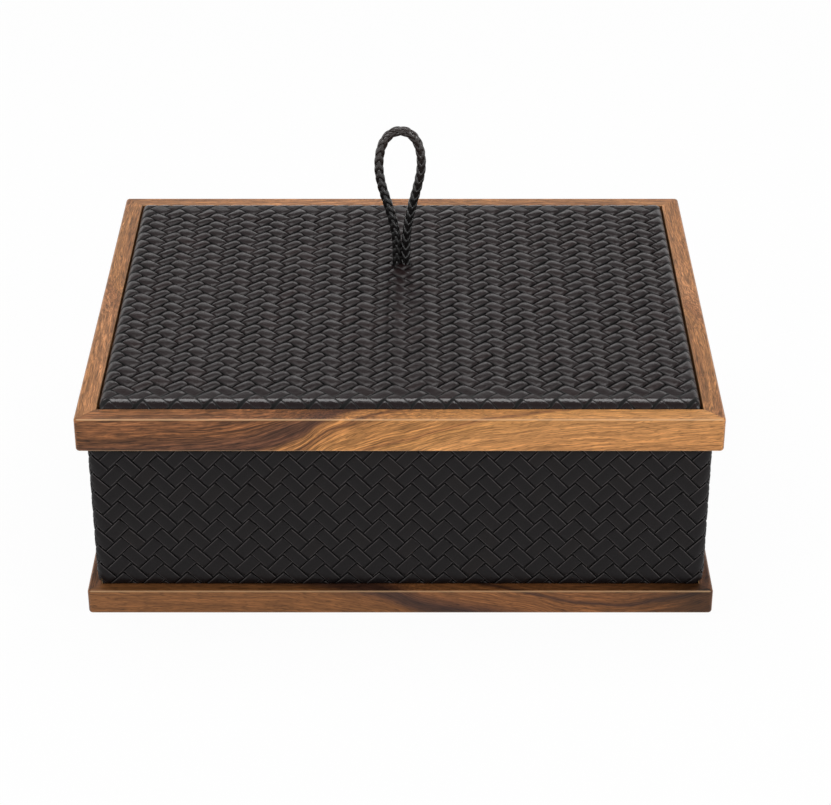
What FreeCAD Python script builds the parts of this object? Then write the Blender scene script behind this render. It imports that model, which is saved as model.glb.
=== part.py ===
"""A document box in woven leather and walnut, with a lift-off lid and a braided loop pull.

The box stands on Z = 0 with its centre at X = Y = 0; its front faces -Y. Lengths are in millimetres.
From the floor up: a felt sheet, a mitred walnut base, a carcass of boards wrapped in woven leather,
and a lid that is a mitred walnut frame round a padded leather panel.
"""

import FreeCAD, Part
import math
import os
from types import SimpleNamespace

import Sketcher

DOC = FreeCAD.newDocument("LeatherBox")
Vector = FreeCAD.Vector
UP = Vector(0, 0, 1)
ALONG_X = Vector(1, 0, 0)


# Driving dimensions: alias, value in millimetres, meaning.
DIMENSIONS = [
    ("frame_width", 330.0, "outer width of the lid frame and of the base"),
    ("frame_depth", 261.0, "outer depth of the lid frame and of the base"),
    ("corner_radius", 2.2, "upright corners of lid and base"),
    ("arris_radius", 1.5, "outer long edges of lid and base"),
    ("inner_arris_radius", 0.5, "lid frame's edge beside the panel"),
    ("felt_thickness", 1.0, "sheet under the base"),
    ("felt_inset", 7.0, "felt's edge to the base's edge"),
    ("base_thickness", 14.4, "walnut base rails and core"),
    ("base_rail_width", 24.0, "base rail, outside to inside"),
    ("tongue_thickness", 4.0, "tongue of the base core"),
    ("tongue_depth", 5.0, "tongue's reach into the base rails"),
    ("overhang", 4.7, "lid and base stand out past the leather"),
    ("body_height", 85.8, "base's top to the rim that the lid sits on"),
    ("leather_thickness", 2.4, "woven leather"),
    ("wrap_corner_radius", 4.5, "leather round the upright corners"),
    ("wrap_tuck_radius", 2.0, "leather's rounded foot"),
    ("turn_in_thickness", 1.2, "leather turned in over the walls' top"),
    ("turn_over_radius", 1.0, "leather's rounded top edge"),
    ("wall_thickness", 6.0, "carcass walls"),
    ("floor_thickness", 5.0, "carcass floor"),
    ("floor_rebate", 3.0, "floor's reach into the walls"),
    ("lining_thickness", 1.5, "suede-covered lining boards"),
    ("lining_drop", 1.0, "lining's top below the rim"),
    ("lid_thickness", 19.2, "lid frame"),
    ("lid_face_width", 10.4, "lid frame's top face"),
    ("lid_rail_width", 26.0, "lid rail, outside to inside, with its ledge"),
    ("lid_rebate_depth", 10.0, "lid frame's top to the ledge"),
    ("board_thickness", 5.0, "panel board"),
    ("pad_gap", 0.5, "gap round the padded panel"),
    ("pad_proud", 2.2, "panel's corners above the lid frame"),
    ("pad_crown", 0.9, "rise of the panel from its corners to its middle"),
    ("pad_edge_radius", 2.2, "panel's rolled edge"),
    ("pad_corner_radius", 3.0, "panel's corners"),
    ("plug_depth", 5.0, "plug's reach into the box"),
    ("plug_clearance", 0.5, "plug to the lining"),
    ("suede_thickness", 1.0, "suede over the plug"),
    ("cord_diameter", 5.6, "braided cord of the pull"),
    ("leg_spacing", 5.9, "between the middles of the loop's legs"),
    ("pull_setback", 38.0, "pull's foot behind the lid's middle"),
    ("pull_clearance", 0.3, "loop's foot above the panel"),
    ("slot_clearance", 0.3, "cord to its slot in the panel"),
    ("anchor_width", 26.0, "anchor block, left to right"),
    ("anchor_depth", 16.0, "anchor block, front to back"),
    ("anchor_bore_depth", 6.0, "tails' reach into the anchor block"),
    ("screw_diameter", 3.0, "screws' shank"),
    ("screw_head_diameter", 6.0, "countersunk head"),
    ("screw_head_height", 1.6, "countersunk head"),
    ("screw_tip_height", 1.5, "screws' point"),
    ("base_screw_bite", 3.6, "base screws' reach into the carcass floor"),
    ("base_screw_inset", 26.0, "base screws to the walls' inner faces"),
    ("plug_screw_bite", 6.0, "plug screws' reach into the lid rails"),
    ("plug_screw_edge", 5.0, "plug screws to the rails' inner edge"),
    ("key_thickness", 3.0, "loose key in a mitre"),
    ("key_length", 10.0, "key's length across the mitre"),
    ("key_width", 8.0, "key's width along the mitre"),
    ("key_setback", 9.5, "key's middle to the frame's two outer faces"),
    ("fit_clearance", 0.1, "glued and screwed joints"),
    ("overrun", 5.0, "how far a cutting block stands out of what it cuts"),
]

# Shares of a rail's inner half length at which the plug's screws sit, and of the shank at a screw's tip.
PLUG_SCREW_SHARES = (-0.55, 0.55)
SCREW_TIP_SHARE = 0.3
# Half of a square's diagonal, as a share of its side.
HALF_DIAGONAL_SHARE = math.sqrt(0.5)
# Levels closer than this are the same level.
NEARLY = 1e-4
# An arc of the cord's path takes this share of the shorter of the two runs that it joins.
ARC_SHARE = 0.45


class Size:
    """A length worked out from the sheet: its formula, for setExpression, and its present value."""

    def __init__(self, text, value):
        self.text = text
        self.value = value

    def join(self, sign, other, value):
        return Size(f"({self.text} {sign} {formula(other)})", value)

    def __add__(self, other):
        return self.join("+", other, self.value + amount(other))

    def __sub__(self, other):
        return self.join("-", other, self.value - amount(other))

    def __mul__(self, other):
        return self.join("*", other, self.value * amount(other))

    def __truediv__(self, other):
        return self.join("/", other, self.value / amount(other))

    def __rmul__(self, other):
        return self * other

    def __rsub__(self, other):
        return -self + other

    def __neg__(self):
        return self * -1


def formula(size):
    """The text of a size, or of a plain number."""
    return size.text if isinstance(size, Size) else repr(size)


def amount(size):
    """The present value of a size, or a plain number."""
    return size.value if isinstance(size, Size) else size


def fill_sheet():
    """Write the driving dimensions to the sheet and return each alias as a Size."""
    sheet = DOC.addObject("Spreadsheet::Sheet", "Sizes")
    for row, (alias, value, meaning) in enumerate(DIMENSIONS, start=1):
        sheet.set(f"A{row}", meaning)
        sheet.set(f"B{row}", str(value))
        sheet.setAlias(f"B{row}", alias)
    DOC.recompute()
    return SimpleNamespace(**{a: Size(f"Sizes.{a}", float(sheet.get(a))) for a, _, _ in DIMENSIONS})


S = fill_sheet()

# Levels above the floor.
BASE_TOP = S.felt_thickness + S.base_thickness
FLOOR_TOP = BASE_TOP + S.floor_thickness
RIM = BASE_TOP + S.body_height
LID_TOP = RIM + S.lid_thickness
LEDGE = LID_TOP - S.lid_rebate_depth
PANEL_TOP = LID_TOP + S.pad_proud + S.pad_crown
PIVOT = PANEL_TOP + S.pull_clearance + S.cord_diameter / 2


def inside(inset):
    """Width and depth of the rectangle that lies this far inside the lid's outline."""
    return S.frame_width - 2 * inset, S.frame_depth - 2 * inset


# Rectangles in plan, each as width and depth.
FRAME = (S.frame_width, S.frame_depth)
BASE_OPENING = inside(S.base_rail_width)
WRAP = inside(S.overhang)
WALLS = inside(S.overhang + S.leather_thickness)
INSIDE = inside(S.overhang + S.leather_thickness + S.wall_thickness)
CLEAR = inside(S.overhang + S.leather_thickness + S.wall_thickness + S.lining_thickness)
PANEL_OPENING = inside(S.lid_face_width)
PANEL = inside(S.lid_face_width + S.pad_gap)
PANEL_CORE = inside(S.lid_face_width + S.pad_gap + S.leather_thickness)
LID_OPENING = inside(S.lid_rail_width)


def grown(plan, margin):
    """A rectangle in plan, larger by this margin on every side."""
    return plan[0] + 2 * margin, plan[1] + 2 * margin


PLUG_OUTSIDE = grown(CLEAR, -S.plug_clearance)
PLUG = grown(PLUG_OUTSIDE, -S.suede_thickness)

SUBPARTS = []


def subpart(thing):
    """Count this object as a finished piece of the box; its label names its file."""
    SUBPARTS.append(thing)
    return thing


def bind(thing, **sizes):
    """Bind properties of an object to formulas over the sheet."""
    for name, size in sizes.items():
        thing.setExpression(name, formula(size))


def place(thing, x=0, y=0, z=0, turn=None):
    """Put an object at a point that follows the sheet, turned by a fixed rotation."""
    if turn:
        thing.Placement = FreeCAD.Placement(Vector(), turn)
    for axis, size in (("x", x), ("y", y), ("z", z)):
        thing.setExpression(f"Placement.Base.{axis}", formula(size))
    return thing


def block(name, plan, height, z, x=0, y=0):
    """A box with its middle above (x, y), standing on the level z."""
    box = DOC.addObject("Part::Box", name)
    bind(box, Length=plan[0], Width=plan[1], Height=height)
    return place(box, x - plan[0] / 2, y - plan[1] / 2, z)


def rod(name, diameter, length, x, y, z):
    """An upright cylinder standing on the level z."""
    cylinder = DOC.addObject("Part::Cylinder", name)
    bind(cylinder, Radius=diameter / 2, Height=length)
    return place(cylinder, x, y, z)


def fuse(name, *things):
    joined = DOC.addObject("Part::MultiFuse", name)
    joined.Shapes = list(things)
    return joined


def cut(name, base, *tools):
    """A base less one or more tools."""
    result = DOC.addObject("Part::Cut", name)
    result.Base = base
    result.Tool = tools[0] if len(tools) == 1 else fuse(f"{name}_tools", *tools)
    return result


def common(name, base, tool):
    result = DOC.addObject("Part::Common", name)
    result.Base = base
    result.Tool = tool
    return result


def group(name, things):
    """Separate solids of one kind, such as a set of screws, as one piece."""
    compound = DOC.addObject("Part::Compound", name)
    compound.Links = things
    return compound


def rectangle(body, name, plan, level):
    """A sketched rectangle about the body's Z axis, at a level above its XY plane."""
    sketch = body.newObject("Sketcher::SketchObject", name)
    plane = next(f for f in body.Origin.OriginFeatures if f.Role == "XY_Plane")
    sketch.AttachmentSupport = (plane, [""])
    sketch.MapMode = "FlatFace"
    sketch.setExpression("AttachmentOffset.Base.z", formula(level))
    corners = [Vector(-1, -1, 0), Vector(1, -1, 0), Vector(1, 1, 0), Vector(-1, 1, 0)]
    for start, end in zip(corners, corners[1:] + corners[:1]):
        sketch.addGeometry(Part.LineSegment(start, end))
    for line in range(4):
        sketch.addConstraint(Sketcher.Constraint("Coincident", line, 2, (line + 1) % 4, 1))
        sketch.addConstraint(Sketcher.Constraint("Vertical" if line % 2 else "Horizontal", line))
    sketch.addConstraint(Sketcher.Constraint("Symmetric", 0, 1, 2, 1, -1, 1))
    width = sketch.addConstraint(Sketcher.Constraint("DistanceX", 0, 1, 0, 2, 2.0))
    depth = sketch.addConstraint(Sketcher.Constraint("DistanceY", 1, 1, 1, 2, 2.0))
    sketch.setExpression(f"Constraints[{width}]", formula(plan[0]))
    sketch.setExpression(f"Constraints[{depth}]", formula(plan[1]))
    return sketch


def pad(body, name, plan, height):
    """Pad a rectangle upwards from the body's XY plane."""
    feature = body.newObject("PartDesign::Pad", name)
    feature.Profile = rectangle(body, f"{name}_sketch", plan, 0)
    bind(feature, Length=height)
    return feature


def pocket(body, name, plan, level, depth=None, upwards=False):
    """Cut a rectangle down (or up) from a level, right through where no depth is given."""
    before = volume_of(body)
    feature = body.newObject("PartDesign::Pocket", name)
    feature.Profile = rectangle(body, f"{name}_sketch", plan, level)
    feature.Reversed = upwards
    if depth is None:
        feature.Type = "ThroughAll"
    else:
        bind(feature, Length=depth)
    if not volume_of(body) < before:
        raise RuntimeError(f"{name} cuts nothing")
    return feature


def volume_of(body):
    DOC.recompute()
    return body.Tip.Shape.Volume


def is_upright(edge):
    box = edge.BoundBox
    return box.ZLength > max(box.XLength, box.YLength)


def lies_at(level):
    """A test for edges that lie flat at a level of their body."""
    return lambda edge: max(abs(edge.BoundBox.ZMin - level), abs(edge.BoundBox.ZMax - level)) < NEARLY


def round_edges(body, name, radius, test):
    """Fillet the edges of the body's last feature that pass a test."""
    DOC.recompute()
    base = body.Tip
    edges = [f"Edge{i}" for i, edge in enumerate(base.Shape.Edges, start=1) if test(edge)]
    if not edges:
        raise RuntimeError(f"{name} finds no edges")
    feature = body.newObject("PartDesign::Fillet", name)
    feature.Base = (base, edges)
    bind(feature, Radius=radius)
    return feature


def moulded_blank(name, thickness, level):
    """A walnut slab with rounded corners and eased edges, from which a frame is cut."""
    body = DOC.addObject("PartDesign::Body", name)
    pad(body, f"{name}_slab", FRAME, thickness)
    round_edges(body, f"{name}_corners", S.corner_radius, is_upright)
    at_foot, at_top = lies_at(0), lies_at(thickness.value)
    round_edges(body, f"{name}_arrises", S.arris_radius, lambda edge: at_foot(edge) or at_top(edge))
    return place(body, z=level)


def mitred(prefix, frame, plan, rail_width, level, height):
    """The four pieces of a frame, parted along 45 degree mitres at its corners."""
    for turn, side in enumerate(("front", "right", "back", "left")):
        along, across = plan if turn % 2 == 0 else reversed(plan)
        wedge = DOC.addObject("Part::Wedge", f"{prefix}_{side}_mitre")
        outer = along / 2 + S.overrun
        inner = along / 2 - rail_width - S.overrun
        bind(wedge, Xmin=-outer, Xmax=outer, X2min=-inner, X2max=inner)
        bind(wedge, Ymin=-(across / 2 + S.overrun), Ymax=-(across / 2 - rail_width - S.overrun))
        bottom, top = level - S.overrun, level + height + S.overrun
        bind(wedge, Zmin=bottom, Zmax=top, Z2min=bottom, Z2max=top)
        wedge.Placement = FreeCAD.Placement(Vector(), FreeCAD.Rotation(UP, turn * 90))
        subpart(common(f"{prefix}_{side}", frame, wedge))


def mitre_keys(prefix, middle, clearance=0):
    """Four flat keys, one across each mitre, or with a clearance the slots that they fit."""
    keys = []
    length, width = (side / 2 + clearance for side in (S.key_length, S.key_width))
    for x_side, y_side in ((1, 1), (-1, 1), (-1, -1), (1, -1)):
        hand = x_side * y_side
        key = DOC.addObject("Part::Box", f"{prefix}_{len(keys) + 1}")
        bind(key, Length=2 * length, Width=2 * width, Height=S.key_thickness + 2 * clearance)
        x = x_side * (S.frame_width / 2 - S.key_setback) - (length + hand * width) * HALF_DIAGONAL_SHARE
        y = y_side * (S.frame_depth / 2 - S.key_setback) - (width - hand * length) * HALF_DIAGONAL_SHARE
        z = middle - S.key_thickness / 2 - clearance
        keys.append(place(key, x, y, z, FreeCAD.Rotation(UP, -45 * hand)))
    return keys


def screw(name, length, x, y, z, clearance=0):
    """A countersunk screw that points up from the level z, or with a clearance the hole that it fits."""
    shank = rod(f"{name}_shank", S.screw_diameter + 2 * clearance, length - S.screw_tip_height, x, y, z)
    head = DOC.addObject("Part::Cone", f"{name}_head")
    bind(head, Radius1=S.screw_head_diameter / 2 + clearance, Radius2=S.screw_diameter / 2 + clearance)
    bind(head, Height=S.screw_head_height)
    place(head, x, y, z)
    tip = DOC.addObject("Part::Cone", f"{name}_tip")
    bind(tip, Radius1=S.screw_diameter / 2 + clearance)
    bind(tip, Radius2=S.screw_diameter * SCREW_TIP_SHARE / 2 + clearance)
    bind(tip, Height=S.screw_tip_height + clearance)
    place(tip, x, y, z + length - S.screw_tip_height)
    return fuse(name, shank, head, tip)


def screw_set(name, length, places, z):
    """A set of screws as one piece, and the holes that they go through."""
    screws, holes = [], []
    for i, (x, y) in enumerate(places, start=1):
        screws.append(screw(f"{name}_{i}", length, x, y, z))
        holes.append(screw(f"{name}_hole_{i}", length, x, y, z, S.fit_clearance))
    subpart(group(name, screws))
    return holes


def build_base():
    """Walnut rails lipped round a core board, on a sheet of felt."""
    subpart(block("underside_felt", inside(S.felt_inset), S.felt_thickness, 0))
    slab = moulded_blank("base_blank", S.base_thickness, S.felt_thickness)
    pocket(slab, "base_blank_opening", BASE_OPENING, S.base_thickness)
    middle = S.felt_thickness + S.base_thickness / 2
    groove = grown(BASE_OPENING, S.tongue_depth)
    groove_cut = block("base_groove", groove, S.tongue_thickness, middle - S.tongue_thickness / 2)
    slots = mitre_keys("base_key_slot", middle, S.fit_clearance)
    frame = cut("base_frame", slab, groove_cut, *slots)
    mitred("base_rail", frame, FRAME, S.base_rail_width, S.felt_thickness, S.base_thickness)
    subpart(group("base_mitre_keys", mitre_keys("base_key", middle)))

    core_plan = grown(BASE_OPENING, -S.fit_clearance)
    core = block("base_core_board", core_plan, S.base_thickness, S.felt_thickness)
    tongue_plan = grown(groove, -S.fit_clearance)
    tongue_height = S.tongue_thickness - 2 * S.fit_clearance
    tongue = block("base_core_tongue", tongue_plan, tongue_height, middle - tongue_height / 2)
    width, depth = grown(INSIDE, -S.base_screw_inset)
    places = [(i * width / 2, j * depth / 2) for i in (-1, 0, 1) for j in (-1, 0, 1) if i or j]
    holes = screw_set("base_screws", S.base_thickness + S.base_screw_bite, places, S.felt_thickness)
    subpart(cut("base_core", fuse("base_core_blank", core, tongue), *holes))
    return holes


def build_body(screw_holes):
    """A carcass of mitred boards, lined with suede and wrapped in woven leather."""
    wall_height = S.body_height - S.turn_in_thickness
    floor_plan = grown(INSIDE, S.floor_rebate)
    ring = cut(
        "wall_ring",
        block("wall_outside", WALLS, wall_height, BASE_TOP),
        block("wall_inside", INSIDE, wall_height + 2 * S.overrun, BASE_TOP - S.overrun),
        block("wall_rebate", floor_plan, S.floor_thickness + S.overrun, BASE_TOP - S.overrun),
    )
    mitred("wall", ring, WALLS, S.wall_thickness, BASE_TOP, wall_height)
    floor_board = block("floor_board", floor_plan, S.floor_thickness, BASE_TOP)
    subpart(cut("carcass_floor", floor_board, *screw_holes))

    wrap = DOC.addObject("PartDesign::Body", "leather_wrap")
    pad(wrap, "wrap_outline", WRAP, S.body_height)
    round_edges(wrap, "wrap_corners", S.wrap_corner_radius, is_upright)
    round_edges(wrap, "wrap_tuck", S.wrap_tuck_radius, lies_at(0))
    round_edges(wrap, "wrap_turn_over", S.turn_over_radius, lies_at(S.body_height.value))
    pocket(wrap, "wrap_hollow", WALLS, 0, wall_height, upwards=True)
    pocket(wrap, "wrap_mouth", INSIDE, S.body_height)
    subpart(place(wrap, z=BASE_TOP))

    height = S.body_height - S.floor_thickness - S.lining_drop
    across = (INSIDE[0], S.lining_thickness)
    along = (S.lining_thickness, CLEAR[1])
    x, y = ((span - S.lining_thickness) / 2 for span in INSIDE)
    subpart(block("lining_front", across, height, FLOOR_TOP, y=-y))
    subpart(block("lining_back", across, height, FLOOR_TOP, y=y))
    subpart(block("lining_left", along, height, FLOOR_TOP, x=-x))
    subpart(block("lining_right", along, height, FLOOR_TOP, x=x))
    subpart(block("lining_floor", CLEAR, S.lining_thickness, FLOOR_TOP))


def build_lid_frame():
    """The lid's walnut rails, and the plug under them that locates the lid in the box."""
    slab = moulded_blank("lid_blank", S.lid_thickness, RIM)
    pocket(slab, "lid_blank_rebate", PANEL_OPENING, S.lid_thickness, S.lid_rebate_depth)
    pocket(slab, "lid_blank_opening", LID_OPENING, S.lid_thickness)
    at_top = lies_at(S.lid_thickness.value)
    reach_x, reach_y = ((span + S.inner_arris_radius).value / 2 for span in PANEL_OPENING)

    def beside_panel(edge):
        room = edge.BoundBox
        return at_top(edge) and -reach_x < room.XMin and room.XMax < reach_x and abs(room.Center.y) < reach_y

    round_edges(slab, "lid_blank_inner_arris", S.inner_arris_radius, beside_panel)
    ledge_middle = (RIM + LEDGE) / 2
    width, depth = (span / 2 for span in LID_OPENING)
    spots = [(share, side) for share in PLUG_SCREW_SHARES for side in (-1, 1)]
    places = [(share * width, side * (depth + S.plug_screw_edge)) for share, side in spots]
    places += [(side * (width + S.plug_screw_edge), share * depth) for share, side in spots]
    plug_height = S.plug_depth - S.suede_thickness
    holes = screw_set("plug_screws", plug_height + S.plug_screw_bite, places, RIM - plug_height)
    slots = mitre_keys("lid_key_slot", ledge_middle, S.fit_clearance)
    frame = cut("lid_frame", slab, *slots, *holes)
    mitred("lid_rail", frame, FRAME, S.lid_rail_width, RIM, S.lid_thickness)
    subpart(group("lid_mitre_keys", mitre_keys("lid_key", ledge_middle)))

    plug = block("plug_board", PLUG, plug_height, RIM - plug_height)
    subpart(cut("lid_plug", plug, *holes))
    sleeve = block("lid_lining_outside", PLUG_OUTSIDE, S.plug_depth, RIM - S.plug_depth)
    hollow = block("lid_lining_hollow", PLUG, plug_height + S.overrun, RIM - plug_height)
    subpart(cut("lid_lining", sleeve, hollow))


def crown(name, top):
    """A great ball whose top swells the panel: it falls by the crown from the middle to the corners."""
    reach = PANEL[0] / 2 * (PANEL[0] / 2) + PANEL[1] / 2 * (PANEL[1] / 2)
    radius = (reach + S.pad_crown * S.pad_crown) / (2 * S.pad_crown)
    ball = DOC.addObject("Part::Sphere", name)
    bind(ball, Radius=radius)
    return place(ball, z=top - radius, turn=FreeCAD.Rotation(ALONG_X, 90))


def cord_slot(name, bottom, height):
    """The slot through which the pull's two legs go down into the panel."""
    diameter = S.cord_diameter + 2 * S.slot_clearance
    y = S.pull_setback
    legs = [rod(f"{name}_leg_{i}", diameter, height, side * S.leg_spacing / 2, y, bottom)
            for i, side in enumerate((-1, 1), start=1)]
    return fuse(name, *legs, block(f"{name}_web", (S.leg_spacing, diameter), height, bottom, y=y))


def build_panel():
    """The padded panel: a board, wadding and a woven leather cover with a rolled edge."""
    slot = cord_slot("cord_slot", LEDGE - S.overrun, PANEL_TOP - LEDGE + 2 * S.overrun)
    board = block("panel_board", PANEL_CORE, S.board_thickness, LEDGE)
    subpart(cut("lid_board", board, slot))

    foam_bottom = LEDGE + S.board_thickness
    foam_block = block("foam_block", PANEL_CORE, PANEL_TOP - foam_bottom, foam_bottom)
    foam = common("foam_form", foam_block, crown("foam_crown", PANEL_TOP - S.leather_thickness))
    subpart(cut("lid_foam", foam, slot))

    body = DOC.addObject("PartDesign::Body", "cover_blank")
    pad(body, "cover_outline", PANEL, PANEL_TOP - LEDGE)
    round_edges(body, "cover_corners", S.pad_corner_radius, is_upright)
    place(body, z=LEDGE)
    swollen = common("cover_form", body, crown("cover_crown", PANEL_TOP))
    DOC.recompute()
    rolled = DOC.addObject("Part::Fillet", "cover_rolled")
    rolled.Base = swollen
    lowest = (LID_TOP + S.pad_proud / 2).value
    top_edges = [i for i, edge in enumerate(swollen.Shape.Edges, start=1) if edge.BoundBox.ZMin > lowest]
    rolled.Edges = [(i, S.pad_edge_radius.value, S.pad_edge_radius.value) for i in top_edges]
    subpart(cut("lid_leather", rolled, board, foam, slot))


def loop_route():
    """The points of the loop's path in its own upright plane, from the left leg's foot to the right leg's.

    Each is (x, z) from the middle of the loop's foot; the legs stand side by side and part towards the top.
    """
    leg = S.leg_spacing.value / 2
    return [(-leg, 0.0), (-leg, 8.0), (-3.15, 17.0), (-6.0, 29.5), (-10.9, 45.0), (-12.6, 59.5),
            (-11.0, 72.2), (-4.9, 78.3), (4.5, 78.3), (10.4, 72.2), (11.5, 59.5), (9.3, 45.0),
            (5.1, 29.5), (3.15, 17.0), (leg, 8.0), (leg, 0.0)]


def rounded_path(points):
    """A wire of straight runs joined by tangent arcs, with the arcs' radii."""
    edges, radii = [], []
    reached = points[0]
    for before, corner, after in zip(points, points[1:], points[2:]):
        arriving, leaving = (corner - before), (after - corner)
        taken = ARC_SHARE * min(arriving.Length, leaving.Length)
        half_turn = arriving.getAngle(leaving) / 2
        radius = taken / math.tan(half_turn)
        arriving.normalize()
        leaving.normalize()
        start, end = corner - arriving * taken, corner + leaving * taken
        inwards = (leaving - arriving).normalize()
        middle = corner + inwards * (radius / math.cos(half_turn) - radius)
        edges += [Part.LineSegment(reached, start).toShape(), Part.Arc(start, middle, end).toShape()]
        radii.append(radius)
        reached = end
    edges.append(Part.LineSegment(reached, points[-1]).toShape())
    return Part.Wire(edges), radii


def build_pull():
    """A braided loop that leans on its foot, and the tails and anchor block that hold it in the lid."""
    path, radii = rounded_path([Vector(x, 0, z) for x, z in loop_route()])
    print("loop radii, mm:", " ".join(f"{radius:.1f}" for radius in radii))
    spine = DOC.addObject("Part::Feature", "loop_path")
    spine.Shape = path
    place(spine, y=S.pull_setback, z=PIVOT)
    section = DOC.addObject("Part::Circle", "loop_section")
    bind(section, Radius=S.cord_diameter / 2)
    place(section, x=-S.leg_spacing / 2, y=S.pull_setback, z=PIVOT)
    tube = DOC.addObject("Part::Sweep", "loop_tube")
    tube.Sections = [section]
    tube.Spine = (spine, [f"Edge{i}" for i in range(1, len(path.Edges) + 1)])
    tube.Solid = True
    feet = []
    for side in (-1, 1):
        foot = DOC.addObject("Part::Sphere", f"loop_foot_{len(feet) + 1}")
        bind(foot, Radius=S.cord_diameter / 2)
        foot.Angle2 = 0
        feet.append(place(foot, side * S.leg_spacing / 2, S.pull_setback, PIVOT))
    subpart(fuse("pull_loop", tube, *feet))
    DOC.recompute()
    expected = math.pi * S.cord_diameter.value ** 2 / 4 * path.Length
    print(f"loop tube: {tube.Shape.Volume:.1f} mm3, section times length {expected:.1f} mm3")

    tail_foot = LEDGE - S.anchor_bore_depth
    tail_height = PANEL_TOP - tail_foot
    tails, bores = [], []
    for side in (-1, 1):
        x = side * S.leg_spacing / 2
        tails.append(rod(f"pull_tail_{len(tails) + 1}", S.cord_diameter, tail_height, x, S.pull_setback,
                         tail_foot))
        bores.append(rod(f"anchor_bore_{len(bores) + 1}", S.cord_diameter + 2 * S.fit_clearance,
                         S.anchor_bore_depth + S.overrun, x, S.pull_setback, tail_foot))
    subpart(group("pull_tails", tails))
    anchor = block("anchor_block", (S.anchor_width, S.anchor_depth), LEDGE - RIM, RIM, y=S.pull_setback)
    subpart(cut("pull_anchor", anchor, *bores))


def check_document():
    """Stop if any object failed, or any piece isn't made of valid closed solids."""
    DOC.recompute()
    for thing in DOC.Objects:
        if {"Invalid", "Error"} & set(thing.State):
            raise RuntimeError(f"{thing.Name} failed: {thing.State}")
    for thing in SUBPARTS:
        shape = thing.Shape
        if shape.isNull() or not shape.isValid() or not shape.Solids:
            raise RuntimeError(f"{thing.Label} isn't a valid solid")


def write_pieces():
    os.makedirs("parts", exist_ok=True)
    for thing in SUBPARTS:
        thing.Shape.exportStep(f"parts/{thing.Label}.step")
        print(f"{thing.Label}: {len(thing.Shape.Solids)} solids, {thing.Shape.Volume:.0f} mm3")


build_body(build_base())
build_lid_frame()
build_panel()
build_pull()
check_document()
write_pieces()
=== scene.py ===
# %% [markdown]
# # A woven-leather box with a lift-off walnut lid
#
# The box is a document box: a walnut base, a carcass wrapped in black woven leather, and a lid that is a
# walnut frame round a padded panel of the same weave, with a braided loop to lift it by.
# The woods, linings and fittings come from the CAD model and only get their finishes here. The leather is
# made anew, because a weave and a braid are what the CAD model leaves out.

import math
from contextlib import contextmanager

import bmesh
import bpy
import numpy as np
from mathutils import Matrix, Vector


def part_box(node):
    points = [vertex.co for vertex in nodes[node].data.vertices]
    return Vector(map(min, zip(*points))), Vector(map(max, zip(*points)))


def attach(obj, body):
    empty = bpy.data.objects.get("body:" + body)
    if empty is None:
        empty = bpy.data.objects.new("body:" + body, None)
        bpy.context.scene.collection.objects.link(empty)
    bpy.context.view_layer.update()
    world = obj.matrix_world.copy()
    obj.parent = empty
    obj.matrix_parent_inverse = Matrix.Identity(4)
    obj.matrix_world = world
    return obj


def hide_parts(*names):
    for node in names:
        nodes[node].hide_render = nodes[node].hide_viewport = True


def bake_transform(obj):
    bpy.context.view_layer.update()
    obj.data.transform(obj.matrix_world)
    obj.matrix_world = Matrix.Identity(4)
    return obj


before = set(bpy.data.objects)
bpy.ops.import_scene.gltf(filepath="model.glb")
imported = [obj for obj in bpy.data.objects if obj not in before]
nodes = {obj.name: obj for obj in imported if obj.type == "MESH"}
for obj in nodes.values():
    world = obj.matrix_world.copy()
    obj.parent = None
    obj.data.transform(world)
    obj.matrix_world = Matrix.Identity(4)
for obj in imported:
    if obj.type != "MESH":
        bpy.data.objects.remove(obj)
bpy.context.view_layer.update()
MM = 0.001

# %% [markdown]
# ## The camera
#
# The picture looks down on the front from about 30 degrees, a little to the right of the middle, with a
# long lens. A camera is most easily set from the point that it aims at: it stands back from that point
# along its own line of sight, and its lens is worked out from the size that the box has in the picture.


# %% Stand the camera in front of the box
def link(name, data):
    """A new object in the scene, with this data."""
    obj = bpy.data.objects.new(name, data)
    bpy.context.scene.collection.objects.link(obj)
    return obj


IMAGE_WIDTH = 831
aim = Vector((8.0, 0.0, 54.5)) * MM
distance = 1352 * MM
elevation = math.radians(30.16)
focal_pixels = 2389.7

lens = bpy.data.cameras.new("camera")
lens.sensor_width = 36
lens.lens = lens.sensor_width * focal_pixels / IMAGE_WIDTH
lens.clip_start = 0.01
camera = link("camera", lens)
camera.location = aim + distance * Vector((0, -math.cos(elevation), math.sin(elevation)))
camera.rotation_euler = (math.pi / 2 - elevation, 0, 0)
bpy.context.scene.camera = camera
print(f"lens {lens.lens:.1f} mm, {distance:.2f} m away")

# %% [markdown]
# ## Small tools
#
# Colours are picked as sRGB hex codes, but shaders reckon in linear light, so one function converts them.
# Another adds a node to any tree, shader or geometry, with its settings and its links in one line, and the
# commonest kinds of node have short functions of their own.


# %% Colours and nodes
def linear(code):
    """An sRGB hex colour as linear red, green, blue and alpha."""
    shades = [int(code[i:i + 2], 16) / 255 for i in (1, 3, 5)]
    return [s / 12.92 if s <= 0.04045 else ((s + 0.055) / 1.055) ** 2.4 for s in shades] + [1.0]


def feed(tree, node, inputs):
    """Set a node's inputs, by name or number, each to a plain value, a socket, or a node's first output."""
    for key, value in inputs.items():
        if isinstance(value, bpy.types.Node):
            value = value.outputs[0]
        if isinstance(value, bpy.types.NodeSocket):
            tree.links.new(value, node.inputs[key])
        else:
            node.inputs[key].default_value = value


def add(tree, kind, inputs=None, **settings):
    """Add a node with these settings and inputs."""
    node = tree.nodes.new(kind)
    for name, value in settings.items():
        setattr(node, name, value)
    feed(tree, node, inputs or {})
    return node


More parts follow.
